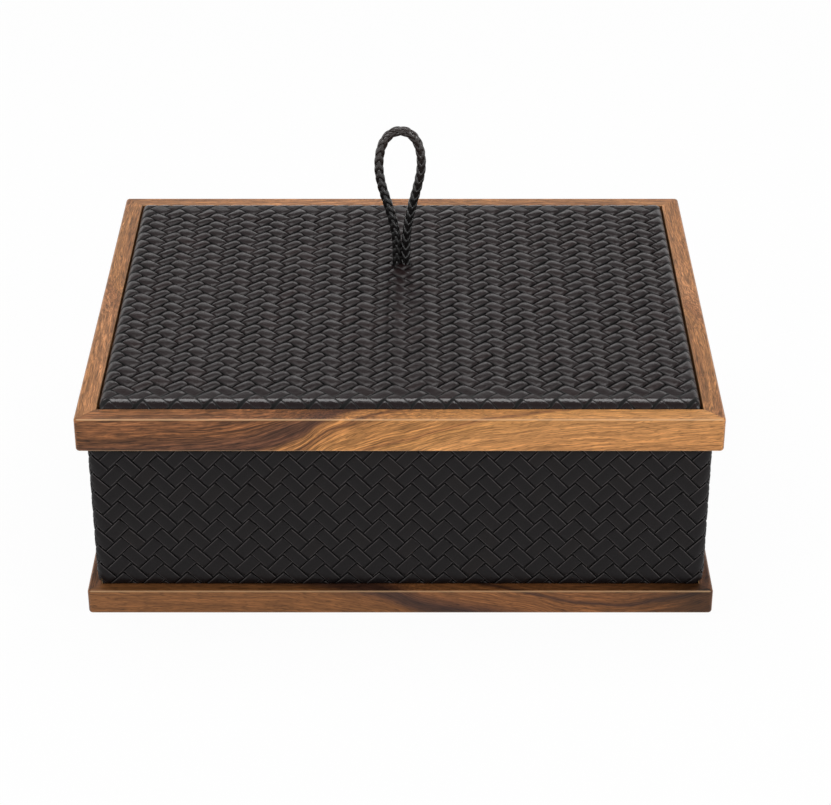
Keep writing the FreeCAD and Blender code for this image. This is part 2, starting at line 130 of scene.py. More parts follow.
# %% The commonest nodes
def reckon(tree, operation, *values, clamp=False):
    """A Math node on these values."""
    return add(tree, "ShaderNodeMath", dict(enumerate(values)), operation=operation, use_clamp=clamp)


def steer(tree, operation, *values):
    """A Vector Math node on these values."""
    return add(tree, "ShaderNodeVectorMath", dict(enumerate(values)), operation=operation)


def spread(tree, value, source, target, **settings):
    """A Map Range node, which takes a value from the source range to the target range."""
    ends = {0: value, 1: source[0], 2: source[1], 3: target[0], 4: target[1]}
    return add(tree, "ShaderNodeMapRange", ends, **settings)


def parts(tree, vector):
    """The X, Y and Z of a vector, by name."""
    return add(tree, "ShaderNodeSeparateXYZ", {0: vector}).outputs


def gather(tree, **axes):
    """A vector of these X, Y and Z; those left out are 0."""
    return add(tree, "ShaderNodeCombineXYZ", axes)


# %% Materials
def new_finish(name):
    """A material, its node tree and its shader."""
    material = bpy.data.materials.new(name)
    material.use_nodes = True
    tree = material.node_tree
    return material, tree, tree.nodes["Principled BSDF"]


def noise(tree, place, size, detail):
    """A Noise Texture node with lumps of this size."""
    return add(tree, "ShaderNodeTexNoise", {"Vector": place, "Scale": 1 / size, "Detail": detail})


def mix(tree, share, one, other):
    """The one colour with this share of the other."""
    return add(tree, "ShaderNodeMix", {0: share, 6: one, 7: other}, data_type="RGBA").outputs[2]


def shade(tree, value, *stops):
    """A Color Ramp node with these (place, hex colour) stops."""
    ramp = add(tree, "ShaderNodeValToRGB", {0: value})
    elements = ramp.color_ramp.elements
    while len(elements) < len(stops):
        elements.new(0.5)
    for element, (place, code) in zip(elements, stops):
        element.position = place
        element.color = linear(code)
    return ramp


def dress(mesh, material):
    """Give all the faces of a mesh this one material."""
    mesh.materials.clear()
    mesh.materials.append(material)
    mesh.polygons.foreach_set("material_index", [0] * len(mesh.polygons))


# %% Geometry Nodes trees
def new_tree(name, sockets):
    """A Geometry Nodes tree with a geometry in and out, and these inputs, named with their socket kinds."""
    tree = bpy.data.node_groups.new(name, "GeometryNodeTree")
    tree.interface.new_socket("Geometry", in_out="INPUT", socket_type="NodeSocketGeometry")
    tree.interface.new_socket("Geometry", in_out="OUTPUT", socket_type="NodeSocketGeometry")
    for label, kind in sockets.items():
        tree.interface.new_socket(label, in_out="INPUT", socket_type="NodeSocket" + kind)
    return tree, add(tree, "NodeGroupInput").outputs


def store(tree, geometry, name, value, domain="POINT"):
    """The geometry with this value stored as a named attribute."""
    inputs = {"Geometry": geometry, "Name": name, "Value": value}
    return add(tree, "GeometryNodeStoreNamedAttribute", inputs, domain=domain, data_type="FLOAT")


def end_tree(tree, geometry, leather):
    """End a tree with real geometry, because an export drops instances, in this leather."""
    whole = add(tree, "GeometryNodeRealizeInstances", {0: geometry})
    whole = add(tree, "GeometryNodeSetMaterial", {0: whole, "Material": leather})
    add(tree, "NodeGroupOutput", {0: whole})
    print(tree.name, "has", len(tree.nodes), "nodes")
    return tree


def run_tree(obj, tree, values):
    """Run a tree on an object with these inputs, and keep the result as its plain mesh."""
    modifier = obj.modifiers.new(tree.name, "NODES")
    modifier.node_group = tree
    sockets = {item.name: item.identifier for item in tree.interface.items_tree if item.in_out == "INPUT"}
    for label, value in values.items():
        modifier[sockets[label]] = value
    mesh = bpy.data.meshes.new_from_object(obj.evaluated_get(bpy.context.evaluated_depsgraph_get()))
    obj.modifiers.remove(modifier)
    obj.data = mesh
    # Realize Instances leaves an empty slot before the leather's own.
    dress(mesh, values["Leather"])


# %% Lines and meshes
def new_object(name, points=(), edges=(), faces=()):
    """A linked mesh object at the origin."""
    mesh = bpy.data.meshes.new(name)
    mesh.from_pydata([tuple(p) for p in points], list(edges), list(faces))
    return link(name, mesh)


def new_line(name, points, closed=False):
    """A mesh of edges through these points, for a tree to use as a curve."""
    edges = [(i, i + 1) for i in range(len(points) - 1)]
    return new_object(name, points, edges + [(len(points) - 1, 0)] * closed)


def line_length(points):
    """The length of the line through these points."""
    return sum(math.dist(a, b) for a, b in zip(points, points[1:]))


def grid_faces(rows, columns):
    """The faces between points that stand in rows and columns."""
    corners = [i * columns + j for i in range(rows - 1) for j in range(columns - 1)]
    return [(a, a + columns, a + columns + 1, a + 1) for a in corners]


@contextmanager
def opened(mesh):
    """A mesh opened for editing, and closed again afterwards."""
    work = bmesh.new()
    work.from_mesh(mesh)
    yield work
    work.to_mesh(mesh)
    work.free()


# %% [markdown]
# ## Leather
#
# All the leather is black calf: dyed through, lightly pigmented and waxed. Such leather has an index of
# about 1.5 and a satin surface. Its pores and creases are about 0.3 mm apart, finer than a pixel here, so
# the grain is drawn at about 1 mm. No two strips take the dye alike: a few are browner than the rest.
# Where a strip is drawn tight over an edge, its wax has taken a polish. The creases between strips are
# painted black, as painted shade, and the strip edges on the sides get a painted highlight.


# %% Black calf leather
PORE, CREASE = 1.0 * MM, 2.5 * MM
PAINTED_CREASE_SHADE = linear("#050404")
WAX_ROUGHNESS = 0.22


def calf_leather(name, dye, brown, edge_highlight, roughness, gloss, polish=0.0):
    """Dyed leather: dye is its colour, brown that of the brownest strips and of the painted light on top
    of the braid, and the third colour that of the painted highlight along the strips' edges. The
    strip_edge attribute runs from 1 on an edge with painted highlight down to -1 in the crease beside it,
    which is painted black as shade, and strip_pull says how tight a strip is drawn; polish is the coat of
    wax that shows there."""
    material, tree, shader = new_finish(name)
    place = add(tree, "ShaderNodeTexCoord").outputs["Object"]
    tone, edge, pulled = (add(tree, "ShaderNodeAttribute", attribute_name="strip_" + label).outputs["Fac"]
                          for label in ("tone", "edge", "pull"))
    strip = shade(tree, tone, (0.0, dye), (0.7, dye), (1.0, brown))
    creases = noise(tree, place, CREASE, 4.0)
    # The pale edges of the strips are a painted highlight.
    pale_edge = reckon(tree, "MULTIPLY", edge, creases, clamp=True)
    with_highlight = mix(tree, pale_edge, strip, linear(edge_highlight))
    # The creases between strips are painted black: painted shade where the strips dip under each other.
    deep = reckon(tree, "MULTIPLY", edge, -1.0, clamp=True)
    colour = mix(tree, deep, with_highlight, PAINTED_CREASE_SHADE)
    pores = add(tree, "ShaderNodeTexVoronoi", {"Vector": place, "Scale": 1 / PORE})
    surface = reckon(tree, "ADD", pores.outputs["Distance"], creases)
    bump = add(tree, "ShaderNodeBump", {"Height": surface, "Strength": 0.4, "Distance": 0.15 * MM})

    # Tight strips are smoother, and creases are rough.
    rough = spread(tree, creases, (0.3, 0.7), (roughness - 0.05, roughness + 0.07))
    open_leather = reckon(tree, "SUBTRACT", 1.0, deep)
    tight = reckon(tree, "MULTIPLY", pulled, open_leather)
    rough = reckon(tree, "MULTIPLY_ADD", tight, -0.1, rough)
    blunt = reckon(tree, "MULTIPLY_ADD", pulled, 0.3, 0.2)
    rough = reckon(tree, "MULTIPLY_ADD", deep, blunt, rough)
    feed(tree, shader, {"Base Color": colour, "Normal": bump, "Roughness": rough, "IOR": 1.5,
                        "Specular IOR Level": gloss})
    if polish:
        wax = reckon(tree, "MULTIPLY", tight, polish)
        feed(tree, shader, {"Coat Weight": wax, "Coat Normal": bump, "Coat Roughness": WAX_ROUGHNESS})
    return material


lid_leather = calf_leather("woven_calf_leather_soft", "#180b0c", "#1e0f0f", "#180b0c", 0.33, 0.37, 0.8)
# On the sides the third colour is a painted highlight along the strip edges.
side_leather = calf_leather("woven_calf_leather_flat", "#131011", "#161212", "#6e6868", 0.44, 0.16)
# On the braid the brown is painted light on the top of the loop.
cord_leather = calf_leather("braided_calf_leather", "#0e0c0c", "#2e2623", "#1d1a1a", 0.24, 0.6)
print("leathers:", lid_leather.name, side_leather.name, cord_leather.name)

# %% [markdown]
# ## The braided loop
#
# The pull is a round braid of eight thin strips, bent into a loop whose two legs go down side by side into
# the lid. A maypole braid is simple to describe: half of the strips wind round a core one way and half the
# other way, and each rises over two of those that it crosses and dips under the next two. So the route of
# the loop is one smooth spline, and a Geometry Nodes tree copies it eight times and winds each copy
# round it.

# %% The route of the loop
pivot = Vector((0.0, 38.0, 126.6)) * MM
LEG = 2.5
ROUTE = [(-LEG, -3.6), (-LEG, 0.0), (-LEG, 8.0), (-3.15, 17.0), (-6.0, 29.5), (-10.9, 45.0), (-12.7, 57.5),
         (-10.6, 70.6), (-4.4, 78.0), (4.3, 77.8), (10.1, 70.4), (11.7, 57.5), (9.3, 45.0), (5.1, 29.5),
         (3.15, 17.0), (LEG, 8.0), (LEG, 0.0), (LEG, -3.6)]

route_curve = bpy.data.curves.new("loop_route", "CURVE")
route_curve.dimensions = "3D"
route_curve.resolution_u = 16
spline = route_curve.splines.new("NURBS")
spline.points.add(len(ROUTE) - 1)
for point, (x, z) in zip(spline.points, ROUTE):
    point.co = (*(pivot + Vector((x, 0, z)) * MM), 1)
spline.order_u = 3
spline.use_endpoint_u = True
route = bpy.data.objects.new("loop_route", route_curve)
route_mesh = bpy.data.meshes.new_from_object(route)
loop_line = [v.co.copy() for v in route_mesh.vertices]

# %% A tree that braids strips round a line
tree, given = new_tree("round_braid", {
    "Strips": "Int", "Turn Length": "Float", "Radius": "Float", "Rise": "Float", "Strip Width": "Float",
    "Strip Thickness": "Float", "Core Radius": "Float", "Step": "Float", "Painted Light From": "Float",
    "Painted Light To": "Float", "Leather": "Material"})
line = add(tree, "GeometryNodeMeshToCurve", {"Mesh": given["Geometry"]})
line = add(tree, "GeometryNodeResampleCurve", {"Curve": line, "Length": given["Step"]}, mode="LENGTH")
copies = add(tree, "GeometryNodeDuplicateElements", {0: line, "Amount": given["Strips"]}, domain="SPLINE")
number = copies.outputs["Duplicate Index"]

# Even strips wind one way and odd strips the other; "turned" is the angle wound so far.
odd = reckon(tree, "MODULO", number, 2.0)
way = reckon(tree, "MULTIPLY_ADD", odd, -2.0, 1.0)
run = add(tree, "GeometryNodeSplineParameter").outputs["Length"]
turns = reckon(tree, "DIVIDE", run, given["Turn Length"])
turned = reckon(tree, "MULTIPLY", turns, math.tau)
pair = reckon(tree, "DIVIDE", number, 2.0)
pair = reckon(tree, "FLOOR", pair)
each = reckon(tree, "DIVIDE", 2 * math.tau, given["Strips"])
start = reckon(tree, "MULTIPLY", pair, each)
angle = reckon(tree, "MULTIPLY_ADD", way, turned, start)
print(tree.name, "winds with", len(tree.nodes), "nodes")

# %% Lift the strips over and under
# The loop lies in an upright plane, so "across" is everywhere Y, and "outwards" is square to it and to
# the line.
tangent = add(tree, "GeometryNodeInputTangent")
outwards = steer(tree, "CROSS_PRODUCT", tangent, (0, 1, 0))
cosine = reckon(tree, "COSINE", angle)
sine = reckon(tree, "SINE", angle)
across = gather(tree, Y=sine)
radial = steer(tree, "MULTIPLY_ADD", outwards, cosine, across)

# Over two and under two: the strips that wind one way are on top in every second quarter round the cord,
# and the others in the quarters between, so the braid shows columns of slanting strips.
quarters = reckon(tree, "MULTIPLY", angle, 2.0)
wave = reckon(tree, "SINE", quarters)
wave = reckon(tree, "MULTIPLY", wave, way)
reach = reckon(tree, "MULTIPLY_ADD", wave, given["Rise"], given["Radius"])
offset = add(tree, "ShaderNodeVectorMath", {0: radial, "Scale": reach}, operation="SCALE")
faced = add(tree, "GeometryNodeSetCurveNormal", {"Curve": copies, "Normal": radial}, mode="FREE")
wound = add(tree, "GeometryNodeSetPosition", {"Geometry": faced, "Offset": offset})

# The top of the loop is painted browner and lighter than its legs: painted light where the lamps fall on the
# arch.
height = parts(tree, add(tree, "GeometryNodeInputPosition"))["Z"]
painted_top_light = spread(tree, height, (given["Painted Light From"], given["Painted Light To"]), (0.6, 1.0))
wound = store(tree, wound, "strip_tone", painted_top_light)
print(tree.name, "winds and lifts with", len(tree.nodes), "nodes")

# %% Give the strips a section
ring = add(tree, "GeometryNodeCurvePrimitiveCircle", {"Resolution": 10, "Radius": 0.5})
flat = gather(tree, X=given["Strip Thickness"], Y=given["Strip Width"], Z=1.0)
section = add(tree, "GeometryNodeTransform", {"Geometry": ring, "Scale": flat})
strips = add(tree, "GeometryNodeCurveToMesh", {"Curve": wound, "Profile Curve": section, "Fill Caps": True})
core_ring = add(tree, "GeometryNodeCurvePrimitiveCircle", {"Resolution": 12, "Radius": given["Core Radius"]})
core = add(tree, "GeometryNodeCurveToMesh", {"Curve": line, "Profile Curve": core_ring, "Fill Caps": True})
whole = add(tree, "GeometryNodeJoinGeometry", {0: strips})
feed(tree, whole, {0: core})
braid_tree = end_tree(tree, whole, given["Leather"])

# %% Braid the loop
braid = new_line("pull_braid", loop_line)
run_tree(braid, braid_tree, {
    "Strips": 8, "Turn Length": 21.0 * MM, "Radius": 1.95 * MM, "Rise": 0.25 * MM, "Strip Width": 2.45 * MM,
    "Strip Thickness": 1.2 * MM, "Core Radius": 1.8 * MM, "Step": 0.6 * MM,
    "Painted Light From": pivot.z + 25 * MM, "Painted Light To": pivot.z + 72 * MM, "Leather": cord_leather})
braid.data.shade_smooth()
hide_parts("pull_loop")
print("braid:", len(braid.data.polygons), "faces")

# %% [markdown]
# ## The weave
#
# Both weaves are a broken twill, the herringbone: strips run at 45 degrees both ways, and what shows is a
# field of short stretches, in columns that lean left and right in turn, each column half a row above the
# next. So one crowned stretch of strip is modelled with a few dozen faces, and a tree lays it out flat in
# columns and rows. The sheet is trimmed like real leather, and other trees bend it over the pad and round
# the box. On the lid the wadding swells each stretch; on the sides the strips are pulled flat.


# %% One stretch of strip
def strip_stretch(name, length, width, sink, bulge, along, across):
    """A crowned tile with ends that bulge a little. Each step across is (place, rise, edge), where edge
    is for the strip_edge attribute; each step along is (place, share of the rise, narrowing)."""
    points, edges = [], []
    for x, share, narrow in along:
        for y, rise, edge in across:
            outer = abs(x) == 1 or abs(y) == 1
            reach = x * (1 - bulge * y * y) * length / 2
            points.append((reach, y * narrow * width / 2, -sink if outer else rise * share))
            edges.append(across[-1][2] if outer else edge)
    n = len(across)
    last = len(points) - 1
    under = [*range(n - 1), *range(n - 1, last, n)]
    under += [*range(last, last - n + 1, -1), *range(last - n + 1, 0, -n)]
    stretch = new_object(name, np.array(points) * MM, faces=grid_faces(len(along), n) + [under])
    stretch.data.attributes.new("strip_edge", "FLOAT", "POINT").data.foreach_set("value", edges)
    stretch.data.shade_smooth()
    return stretch


def both_ways(*steps):
    """Steps from the middle outwards, mirrored to the other side."""
    return [(-step[0], *step[1:]) for step in reversed(steps[1:])] + list(steps)


# %% A tree that lays strips flat
tree, given = new_tree("lay_herringbone", {
    "Strip": "Object", "Columns": "Int", "Rows": "Int", "Column Pitch": "Float", "Row Pitch": "Float",
    "Slant": "Float", "Lean": "Float", "Jitter": "Float", "Size Spread": "Float", "Bias": "Float",
    "Seed": "Int", "Leather": "Material"})
gaps = reckon(tree, "SUBTRACT", given["Columns"], 1.0)
wide = reckon(tree, "MULTIPLY", gaps, given["Column Pitch"])
gaps = reckon(tree, "SUBTRACT", given["Rows"], 1.0)
tall = reckon(tree, "MULTIPLY", gaps, given["Row Pitch"])
grid = add(tree, "GeometryNodeMeshGrid", {
    "Size X": wide, "Size Y": tall, "Vertices X": given["Columns"], "Vertices Y": given["Rows"]})

# A point's column number, counted from the left edge, tells which way its stretch leans.
spot = parts(tree, add(tree, "GeometryNodeInputPosition"))
from_left = reckon(tree, "MULTIPLY_ADD", wide, 0.5, spot["X"])
column = reckon(tree, "DIVIDE", from_left, given["Column Pitch"])
column = reckon(tree, "ROUND", column)
odd = reckon(tree, "FLOORED_MODULO", column, 2.0)
way = reckon(tree, "MULTIPLY_ADD", odd, -2.0, 1.0)

half_row = reckon(tree, "MULTIPLY", given["Row Pitch"], 0.5)
shift = reckon(tree, "MULTIPLY", odd, half_row)
chance = add(tree, "FunctionNodeRandomValue", {0: (-1, -1, 0), 1: (1, 1, 0), "Seed": given["Seed"]},
             data_type="FLOAT_VECTOR")
stray = add(tree, "ShaderNodeVectorMath", {0: chance, "Scale": given["Jitter"]}, operation="SCALE")
move = steer(tree, "ADD", stray, gather(tree, Y=shift))
placed = add(tree, "GeometryNodeSetPosition", {"Geometry": grid, "Offset": move})
print(tree.name, "finds places with", len(tree.nodes), "nodes")

# %% Turn and size the strips, and lay them
chance = add(tree, "FunctionNodeRandomValue", {2: -1.0, 3: 1.0, "Seed": given["Seed"]}, data_type="FLOAT")
angle = reckon(tree, "MULTIPLY", way, given["Slant"])
angle = reckon(tree, "MULTIPLY_ADD", chance.outputs[1], given["Lean"], angle)
turn = gather(tree, Z=angle)
chance = add(tree, "FunctionNodeRandomValue", {0: (-1, -1, -1), 1: (1, 1, 1), "Seed": given["Seed"]},
             data_type="FLOAT_VECTOR")
# The stretches that lean left are wider than the others, by this bias.
bias = reckon(tree, "MULTIPLY", way, given["Bias"])
width = reckon(tree, "SUBTRACT", 1.0, bias)
size = gather(tree, X=1.0, Y=width, Z=1.0)
size = steer(tree, "MULTIPLY_ADD", chance, given["Size Spread"], size)
shape = add(tree, "GeometryNodeObjectInfo", {"Object": given["Strip"]}).outputs["Geometry"]
laid = add(tree, "GeometryNodeInstanceOnPoints", {
    "Points": placed, "Instance": shape, "Rotation": turn, "Scale": size})
chance = add(tree, "FunctionNodeRandomValue", {2: 0.0, 3: 1.0, "Seed": given["Seed"]}, data_type="FLOAT")
toned = store(tree, laid, "strip_tone", chance.outputs[1], "INSTANCE")
lay_tree = end_tree(tree, toned, given["Leather"])


# %% Scissors and a scoring knife for the flat sheet
LONGEST_STRETCH = 20 * MM


def trim(sheet, point, away):
    """Cut off what lies beyond a plane, and close the cut strips again."""
    with opened(sheet.data) as work:
        everything = work.verts[:] + work.edges[:] + work.faces[:]
        cut = bmesh.ops.bisect_plane(work, geom=everything, plane_co=point, plane_no=away, clear_outer=True)
        edges = [e for e in cut["geom_cut"] if isinstance(e, bmesh.types.BMEdge)]
        bmesh.ops.edgeloop_fill(work, edges=edges)


def score(sheet, away, places):
    """Draw lines across the sheet, square to this direction, for it to bend along smoothly."""
    with opened(sheet.data) as work:
        near = [v for v in work.verts if v.co.dot(away) > min(places) - LONGEST_STRETCH]
        part = {*near, *(e for v in near for e in v.link_edges), *(f for v in near for f in v.link_faces)}
        part |= {e for f in part if isinstance(f, bmesh.types.BMFace) for e in f.edges}
        part |= {v for e in part if isinstance(e, bmesh.types.BMEdge) for v in e.verts}
        part = list(part)
        for place in places:
            part = bmesh.ops.bisect_plane(work, geom=part, plane_co=away * place, plane_no=away)["geom"]


# %% [markdown]
# ## The padded panel of the lid
#
# The panel is a board with a few millimetres of wadding, and its woven cover is drawn over the edges and
# glued underneath. It is almost level, a little higher in its middle, and rolls over at its sides, where
# the strips are pulled flat. A cover drawn this tight lies as the board and the wadding do, so its form
# needs no simulation: two section lines give it, one across and one along the lid. The tree slides the
# flat weave along both lines. Before that, the weave is scored where it will roll, so that it bends
# smoothly there.

# %% The sizes of the panel
low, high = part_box("lid_leather")
pad_half = [(high.x - low.x) / 2, (high.y - low.y) / 2]
pad_top = high.z
PLUMP = 1.6 * MM
FLAT_SHARE = 0.14
PROUD = 0.5 * MM
ROLLS = (2.8 * MM, 5.2 * MM)
FOLD = math.radians(78)
BORDER_LIFT = 0.6 * PLUMP
side_gap = BORDER_LIFT + FLAT_SHARE * PLUMP + 0.5 * MM
crown_drop = 0.2 * MM
skirt = 5 * MM
print("panel:", [round(2 * half / MM, 1) for half in pad_half], "mm, top at", round(pad_top / MM, 1))


# %% Section lines over the panel
def pad_section(half, roll_radius):
    """Up one side, over the crowned top and down the other side, as (place, 0, level below the middle)."""
    flat = half - roll_radius * (1 - math.cos(FOLD))
    arc = [i * FOLD / 12 for i in range(13)]
    top = np.linspace(-flat, flat, 61)
    fall = roll_radius * math.sin(FOLD)
    up = [(-half, -fall - skirt * (1 - i / 4)) for i in range(4)]
    left = [(-half + roll_radius * (1 - math.cos(a)), roll_radius * math.sin(a) - fall) for a in arc]
    over = [(x, crown_drop * (1 - (x / flat) ** 2)) for x in top[1:-1]]
    right = [(-x, z) for x, z in reversed(left)]
    down = [(-x, z) for x, z in reversed(up)]
    return [(x, 0, z - crown_drop) for x, z in up + left + over + right + down]


sections, spans = [], []
for name, half, roll in zip(("section_across", "section_along"), pad_half, ROLLS):
    points = pad_section(half - side_gap, roll)
    spans.append(line_length(points))
    sections.append(new_line(name, points))
    sections[-1].hide_render = True
print("cover, flat:", [round(span / MM, 1) for span in spans], "mm")


# %% A point along a line
def sample(tree, line, run):
    """The position and tangent, by name, at this run along a line, which is an object made of edges."""
    line = add(tree, "GeometryNodeObjectInfo", {"Object": line}).outputs["Geometry"]
    line = add(tree, "GeometryNodeMeshToCurve", {"Mesh": line})
    return add(tree, "GeometryNodeSampleCurve", {"Curves": line, "Length": run}, mode="LENGTH").outputs


# %% A tree that bends a sheet over the panel
tree, given = new_tree("bend_over_panel", {
    "Across": "Object", "Along": "Object", "Half Across": "Float", "Half Along": "Float", "Level": "Float",
    "Border Across": "Float", "Border Along": "Float", "Ease Across": "Float", "Ease Along": "Float",
    "Flat Share": "Float", "Border Lift": "Float", "Leather": "Material"})
spot = parts(tree, add(tree, "GeometryNodeInputPosition"))
bends, eased = [], []
for axis, line_name in (("X", "Across"), ("Y", "Along")):
    half_name = "Half " + line_name
    run = reckon(tree, "ADD", spot[axis], given[half_name])
    bend = sample(tree, given[line_name], run)
    normal = steer(tree, "CROSS_PRODUCT", bend["Tangent"], (0, 1, 0))
    bends.append([parts(tree, vector) for vector in (bend["Position"], normal)])
    # Towards its border the sheet is pulled flat.
    far = reckon(tree, "ABSOLUTE", spot[axis])
    left = reckon(tree, "SUBTRACT", given[half_name], far)
    left = reckon(tree, "SUBTRACT", left, given["Border " + line_name])
    eased.append(spread(tree, left, (0.0, given["Ease " + line_name]), (0.0, 1.0),
                        interpolation_type="SMOOTHSTEP"))
print(tree.name, "bends both ways with", len(tree.nodes), "nodes")

# %% Put the two bends together
PULL_SLOPES, END_SLOPES = (0.995, 0.96), (0.8, 0.97)
(place_x, normal_x), (place_y, normal_y) = bends
# At a corner, where both lines fall, the sheet falls less than both together, so the wadding stays covered.
steep = reckon(tree, "MULTIPLY", place_x["Z"], place_x["Z"])
steep = reckon(tree, "MULTIPLY_ADD", place_y["Z"], place_y["Z"], steep)
fall = reckon(tree, "SQRT", steep)
drop = reckon(tree, "SUBTRACT", given["Level"], fall)
place = gather(tree, X=place_x["X"], Y=place_y["X"], Z=drop)
upright = reckon(tree, "MULTIPLY", normal_x["Z"], normal_y["Z"])
normal = gather(tree, X=normal_x["X"], Y=normal_y["X"], Z=upright)
normal = steer(tree, "NORMALIZE", normal)
inner = reckon(tree, "MULTIPLY", eased[0], eased[1])
plump = spread(tree, inner, (0.0, 1.0), (given["Flat Share"], 1.0))
lift = spread(tree, inner, (0.0, 1.0), (given["Border Lift"], 0.0))
height = reckon(tree, "MULTIPLY_ADD", spot["Z"], plump, lift)
bent = steer(tree, "MULTIPLY_ADD", normal, height, place)

# The strips are tight where the front and back roll over, but not at the left and right ends of the rolls.
pull = spread(tree, normal_y["Z"], PULL_SLOPES, (0.0, 1.0))
side = spread(tree, normal_x["Z"], END_SLOPES, (0.0, 1.0))
pull = reckon(tree, "MULTIPLY", pull, side)
marked = store(tree, given["Geometry"], "strip_pull", pull)
moved = add(tree, "GeometryNodeSetPosition", {"Geometry": marked, "Position": bent})
pad_tree = end_tree(tree, moved, given["Leather"])

# %% Weave the cover
LID_COLUMNS, LID_ROWS = 39, 27
LID_SHIFT = Vector((-1.0, 1.3, 0.0)) * MM
HEM = 0.5 * MM
SCORE_STEP, SCORE_LINES = 0.6 * MM, 16
# The -0.9 and -1 edge marks at the strip sides paint the creases black, as painted shade.
lid_strip = strip_stretch(
    "lid_strip", 12.9, 7.3, 0.6, 0.06,
    along=both_ways((0, 1.0, 1.0), (0.5, 0.96, 1.0), (0.85, 0.68, 0.99), (1, 0, 0.93)),
    across=both_ways((0, 1.6, 0), (0.4, 1.5, 0), (0.75, 1.15, 0), (0.92, 0.65, -0.9), (1, 0, -1)))
cover = new_object("lid_cover")
run_tree(cover, lay_tree, {
    "Strip": lid_strip, "Columns": LID_COLUMNS, "Rows": LID_ROWS, "Column Pitch": 8.8 * MM,
    "Row Pitch": 10.2 * MM, "Slant": math.radians(45), "Lean": math.radians(3.0), "Jitter": 0.25 * MM,
    "Size Spread": 0.05, "Bias": 0.1, "Seed": 7, "Leather": lid_leather})
cover.data.transform(Matrix.Translation(LID_SHIFT))
for axis, span in ((Vector((1, 0, 0)), spans[0]), (Vector((0, 1, 0)), spans[1])):
    for side in (-1, 1):
        trim(cover, side * axis * (span / 2 - HEM), side * axis)
        score(cover, side * axis, [span / 2 - skirt + SCORE_STEP * (1 - i) for i in range(SCORE_LINES)])
print("cover strips:", len(cover.data.polygons), "faces")

# %% A thin skin under the strips, painted black as shade
SKIN_BORDER, BORDER_LINES, INNER_LINES = 15 * MM, 24, 50
SKIN_LEVEL, SKIN_THICKNESS = -0.1 * MM, 0.5 * MM
skin_lines = []
for span in spans:
    outer = [span / 2 - SCORE_STEP * i for i in range(BORDER_LINES)]
    inner = list(np.linspace(-span / 2 + SKIN_BORDER, span / 2 - SKIN_BORDER, INNER_LINES))
    skin_lines.append([-place for place in outer] + inner + outer[::-1])
across, along = skin_lines
points = [(x, y, SKIN_LEVEL) for x in across for y in along]
faces = grid_faces(len(across), len(along))
skin = new_object("lid_skin", points, faces=faces)
# The whole skin is marked as crease, so it is painted black: painted shade in the gaps between the strips.
skin.data.attributes.new("strip_edge", "FLOAT", "POINT").data.foreach_set("value", [-1.0] * len(points))
print("skin:", len(faces), "faces")

# %% Bend both over the panel and join them
bend_values = {
    "Across": sections[0], "Along": sections[1], "Half Across": spans[0] / 2, "Half Along": spans[1] / 2,
    "Level": pad_top + PROUD - PLUMP, "Border Across": skirt + 2.5 * MM, "Border Along": skirt + 11.0 * MM,
    "Ease Across": 5.0 * MM, "Ease Along": 8.0 * MM, "Flat Share": FLAT_SHARE,
    "Border Lift": BORDER_LIFT, "Leather": lid_leather}
for sheet in (cover, skin):
    run_tree(sheet, pad_tree, bend_values)
    sheet.data.shade_smooth()


def join(name, whole, other):
    """Make the other object a piece of the whole; both have the same single material."""
    with opened(whole.data) as work:
        work.from_mesh(other.data)
    bpy.data.objects.remove(other)
    whole.name = name


thicken = skin.modifiers.new("thickness", "SOLIDIFY")
thicken.thickness = SKIN_THICKNESS
thicken.offset = -1
skin.data = bpy.data.meshes.new_from_object(skin.evaluated_get(bpy.context.evaluated_depsgraph_get()))
skin.modifiers.clear()
join("lid_cover", cover, skin)
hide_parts("lid_leather")
print("lid cover:", len(cover.data.polygons), "faces")

# %% [markdown]
# ## The woven sides
#
# One long strip of weave goes round the four walls and closes on itself, so its number of columns has to
# be even and to fit the girth exactly. It is tucked in under the foot and turned in over the rim, where
# the lid sits on it. Two lines are enough to bend it: the outline seen from above and the section of a
# wall. A second, plain ring of leather under the strips closes the gaps and carries on over the rim.

# %% The sizes of the wrap
low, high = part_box("leather_wrap")
side_half = [high.x, high.y]
foot, rim = low.z, high.z
wall_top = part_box("wall_front")[1].z
wall_half = [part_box("wall_right")[1].x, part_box("wall_back")[1].y]
mouth_half = [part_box("lining_right")[1].x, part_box("lining_back")[1].y]
RELIEF = 0.9 * MM
corner_radius = 4.5 * MM
print("wrap:", [round(2 * half / MM, 1) for half in side_half], "mm, rim at", round(rim / MM, 1))


# %% The outline
CORNER_STEPS = 6


def rounded_rectangle(half_x, half_y, radius, z=0.0, run=None):
    """Points round a rectangle, anticlockwise from the middle of the back; run divides straight sides."""
    corners = [(-1, 1, 90), (-1, -1, 180), (1, -1, 270), (1, 1, 0)]
    points = []
    for sx, sy, start in corners:
        for i in range(CORNER_STEPS + 1):
            a = math.radians(start + 90 / CORNER_STEPS * i)
            centre_x, centre_y = sx * (half_x - radius), sy * (half_y - radius)
            points.append((centre_x + radius * math.cos(a), centre_y + radius * math.sin(a), z))
    points = [(0.0, half_y, z)] + points
    if run is None:
        return points
    divided = []
    for a, b in zip(points, points[1:] + points[:1]):
        n = max(1, round(math.dist(a, b) / run))
        divided += [tuple(p + (q - p) * i / n for p, q in zip(a, b)) for i in range(n)]
    return divided


def inset(depth):
    """The half sizes of a ring this many millimetres inside the foot of the strips."""
    return [half - RELIEF - depth * MM for half in side_half]


outline_points = rounded_rectangle(*inset(0), corner_radius - RELIEF, run=6 * MM)
girth = line_length(outline_points + outline_points[:1])
outline = new_line("wrap_outline", outline_points, closed=True)
print(f"girth {girth / MM:.1f} mm")

